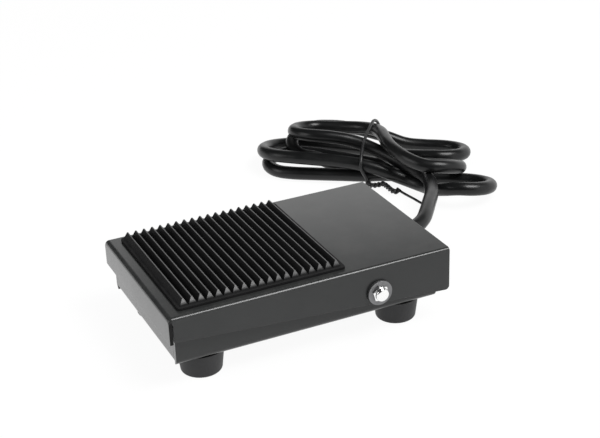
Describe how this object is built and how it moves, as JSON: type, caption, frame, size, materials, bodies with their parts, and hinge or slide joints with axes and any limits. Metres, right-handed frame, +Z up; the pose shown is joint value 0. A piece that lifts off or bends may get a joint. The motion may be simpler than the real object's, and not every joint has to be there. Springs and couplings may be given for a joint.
{
  "type": "foot switch",
  "caption": "Sprung sheet-metal foot pedal with a ribbed rubber pad, hinged over a folded base tray on rubber feet, with a cord tied in a hank.",
  "frame": {"origin": "on the floor, under the centre of the pedal", "axes": "+X across the pedal to the right seen from the toe end, +Y from the toe end to the cord end, +Z up"},
  "size_m": [0.1772, 0.1935, 0.0316],
  "materials": {
    "painted": "fine textured powder coat, dark grey",
    "pad_rubber": "moulded, matt black",
    "foot_rubber": "moulded, matt black",
    "zinc_plate": "zinc plated",
    "bright_plate": "bright nickel plated",
    "spring_steel": "drawn spring wire",
    "nylon": "natural nylon",
    "switch_black": "moulded phenolic",
    "plunger_red": "moulded, red",
    "terminal_brass": "stamped strip",
    "card": "pressed insulating card",
    "cord_jacket": "soft extruded jacket, satin black",
    "gland_black": "moulded, black",
    "wire_insulation": "extruded insulation",
    "tie_black": "plastic-coated tie wire"
  },
  "bodies": {
    "base": {"base_tray": "painted", "hinge_axle": "zinc_plate", "spacer_tube": "zinc_plate", "pivot_shims": "nylon", "hinge_washers": "zinc_plate", "cap_nuts": "bright_plate", "return_spring": "spring_steel", "lower_spring_stud": "zinc_plate", "switch_case": "switch_black", "switch_cover": "switch_black", "switch_terminals": "terminal_brass", "switch_bracket": "zinc_plate", "switch_screws": "bright_plate", "switch_nuts": "bright_plate", "insulation_sheet": "card", "foot_front_left": "foot_rubber", "foot_front_right": "foot_rubber", "foot_rear_left": "foot_rubber", "foot_rear_right": "foot_rubber", "foot_screws": "bright_plate", "foot_washers": "zinc_plate", "foot_nuts": "zinc_plate", "clamp_base": "nylon", "clamp_strap": "nylon", "clamp_screws": "bright_plate", "cord_gland": "gland_black", "cord_core": "cord_jacket", "conductors": "wire_insulation", "cord_tube": "cord_jacket", "cord_hank": "cord_jacket", "twist_tie": "tie_black"},
    "pedal": {"pedal_cover": "painted", "ribbed_pad": "pad_rubber", "striker_plate": "zinc_plate", "upper_spring_stud": "zinc_plate"},
    "plunger": {"switch_plunger": "plunger_red"}
  },
  "joints": [
    {"name": "pedal_press", "type": "hinge", "parent": "base", "child": "pedal", "pos_m": [0, 0.0241, 0.018], "axis": [1, 0, 0], "range_deg": [0, 4], "stiffness_Nm_per_rad": 3, "springref_deg": -11.46, "deforming": ["return_spring"]},
    {"name": "plunger_slide", "type": "slide", "parent": "base", "child": "plunger", "axis": [0, 0, -1], "range_m": [0, 0.00115], "stiffness_N_per_m": 20, "springref_m": -0.001}
  ],
  "couplings": [
    {"joint": "plunger_slide", "follows": "pedal_press", "m_per_rad": 0.016}
  ]
}
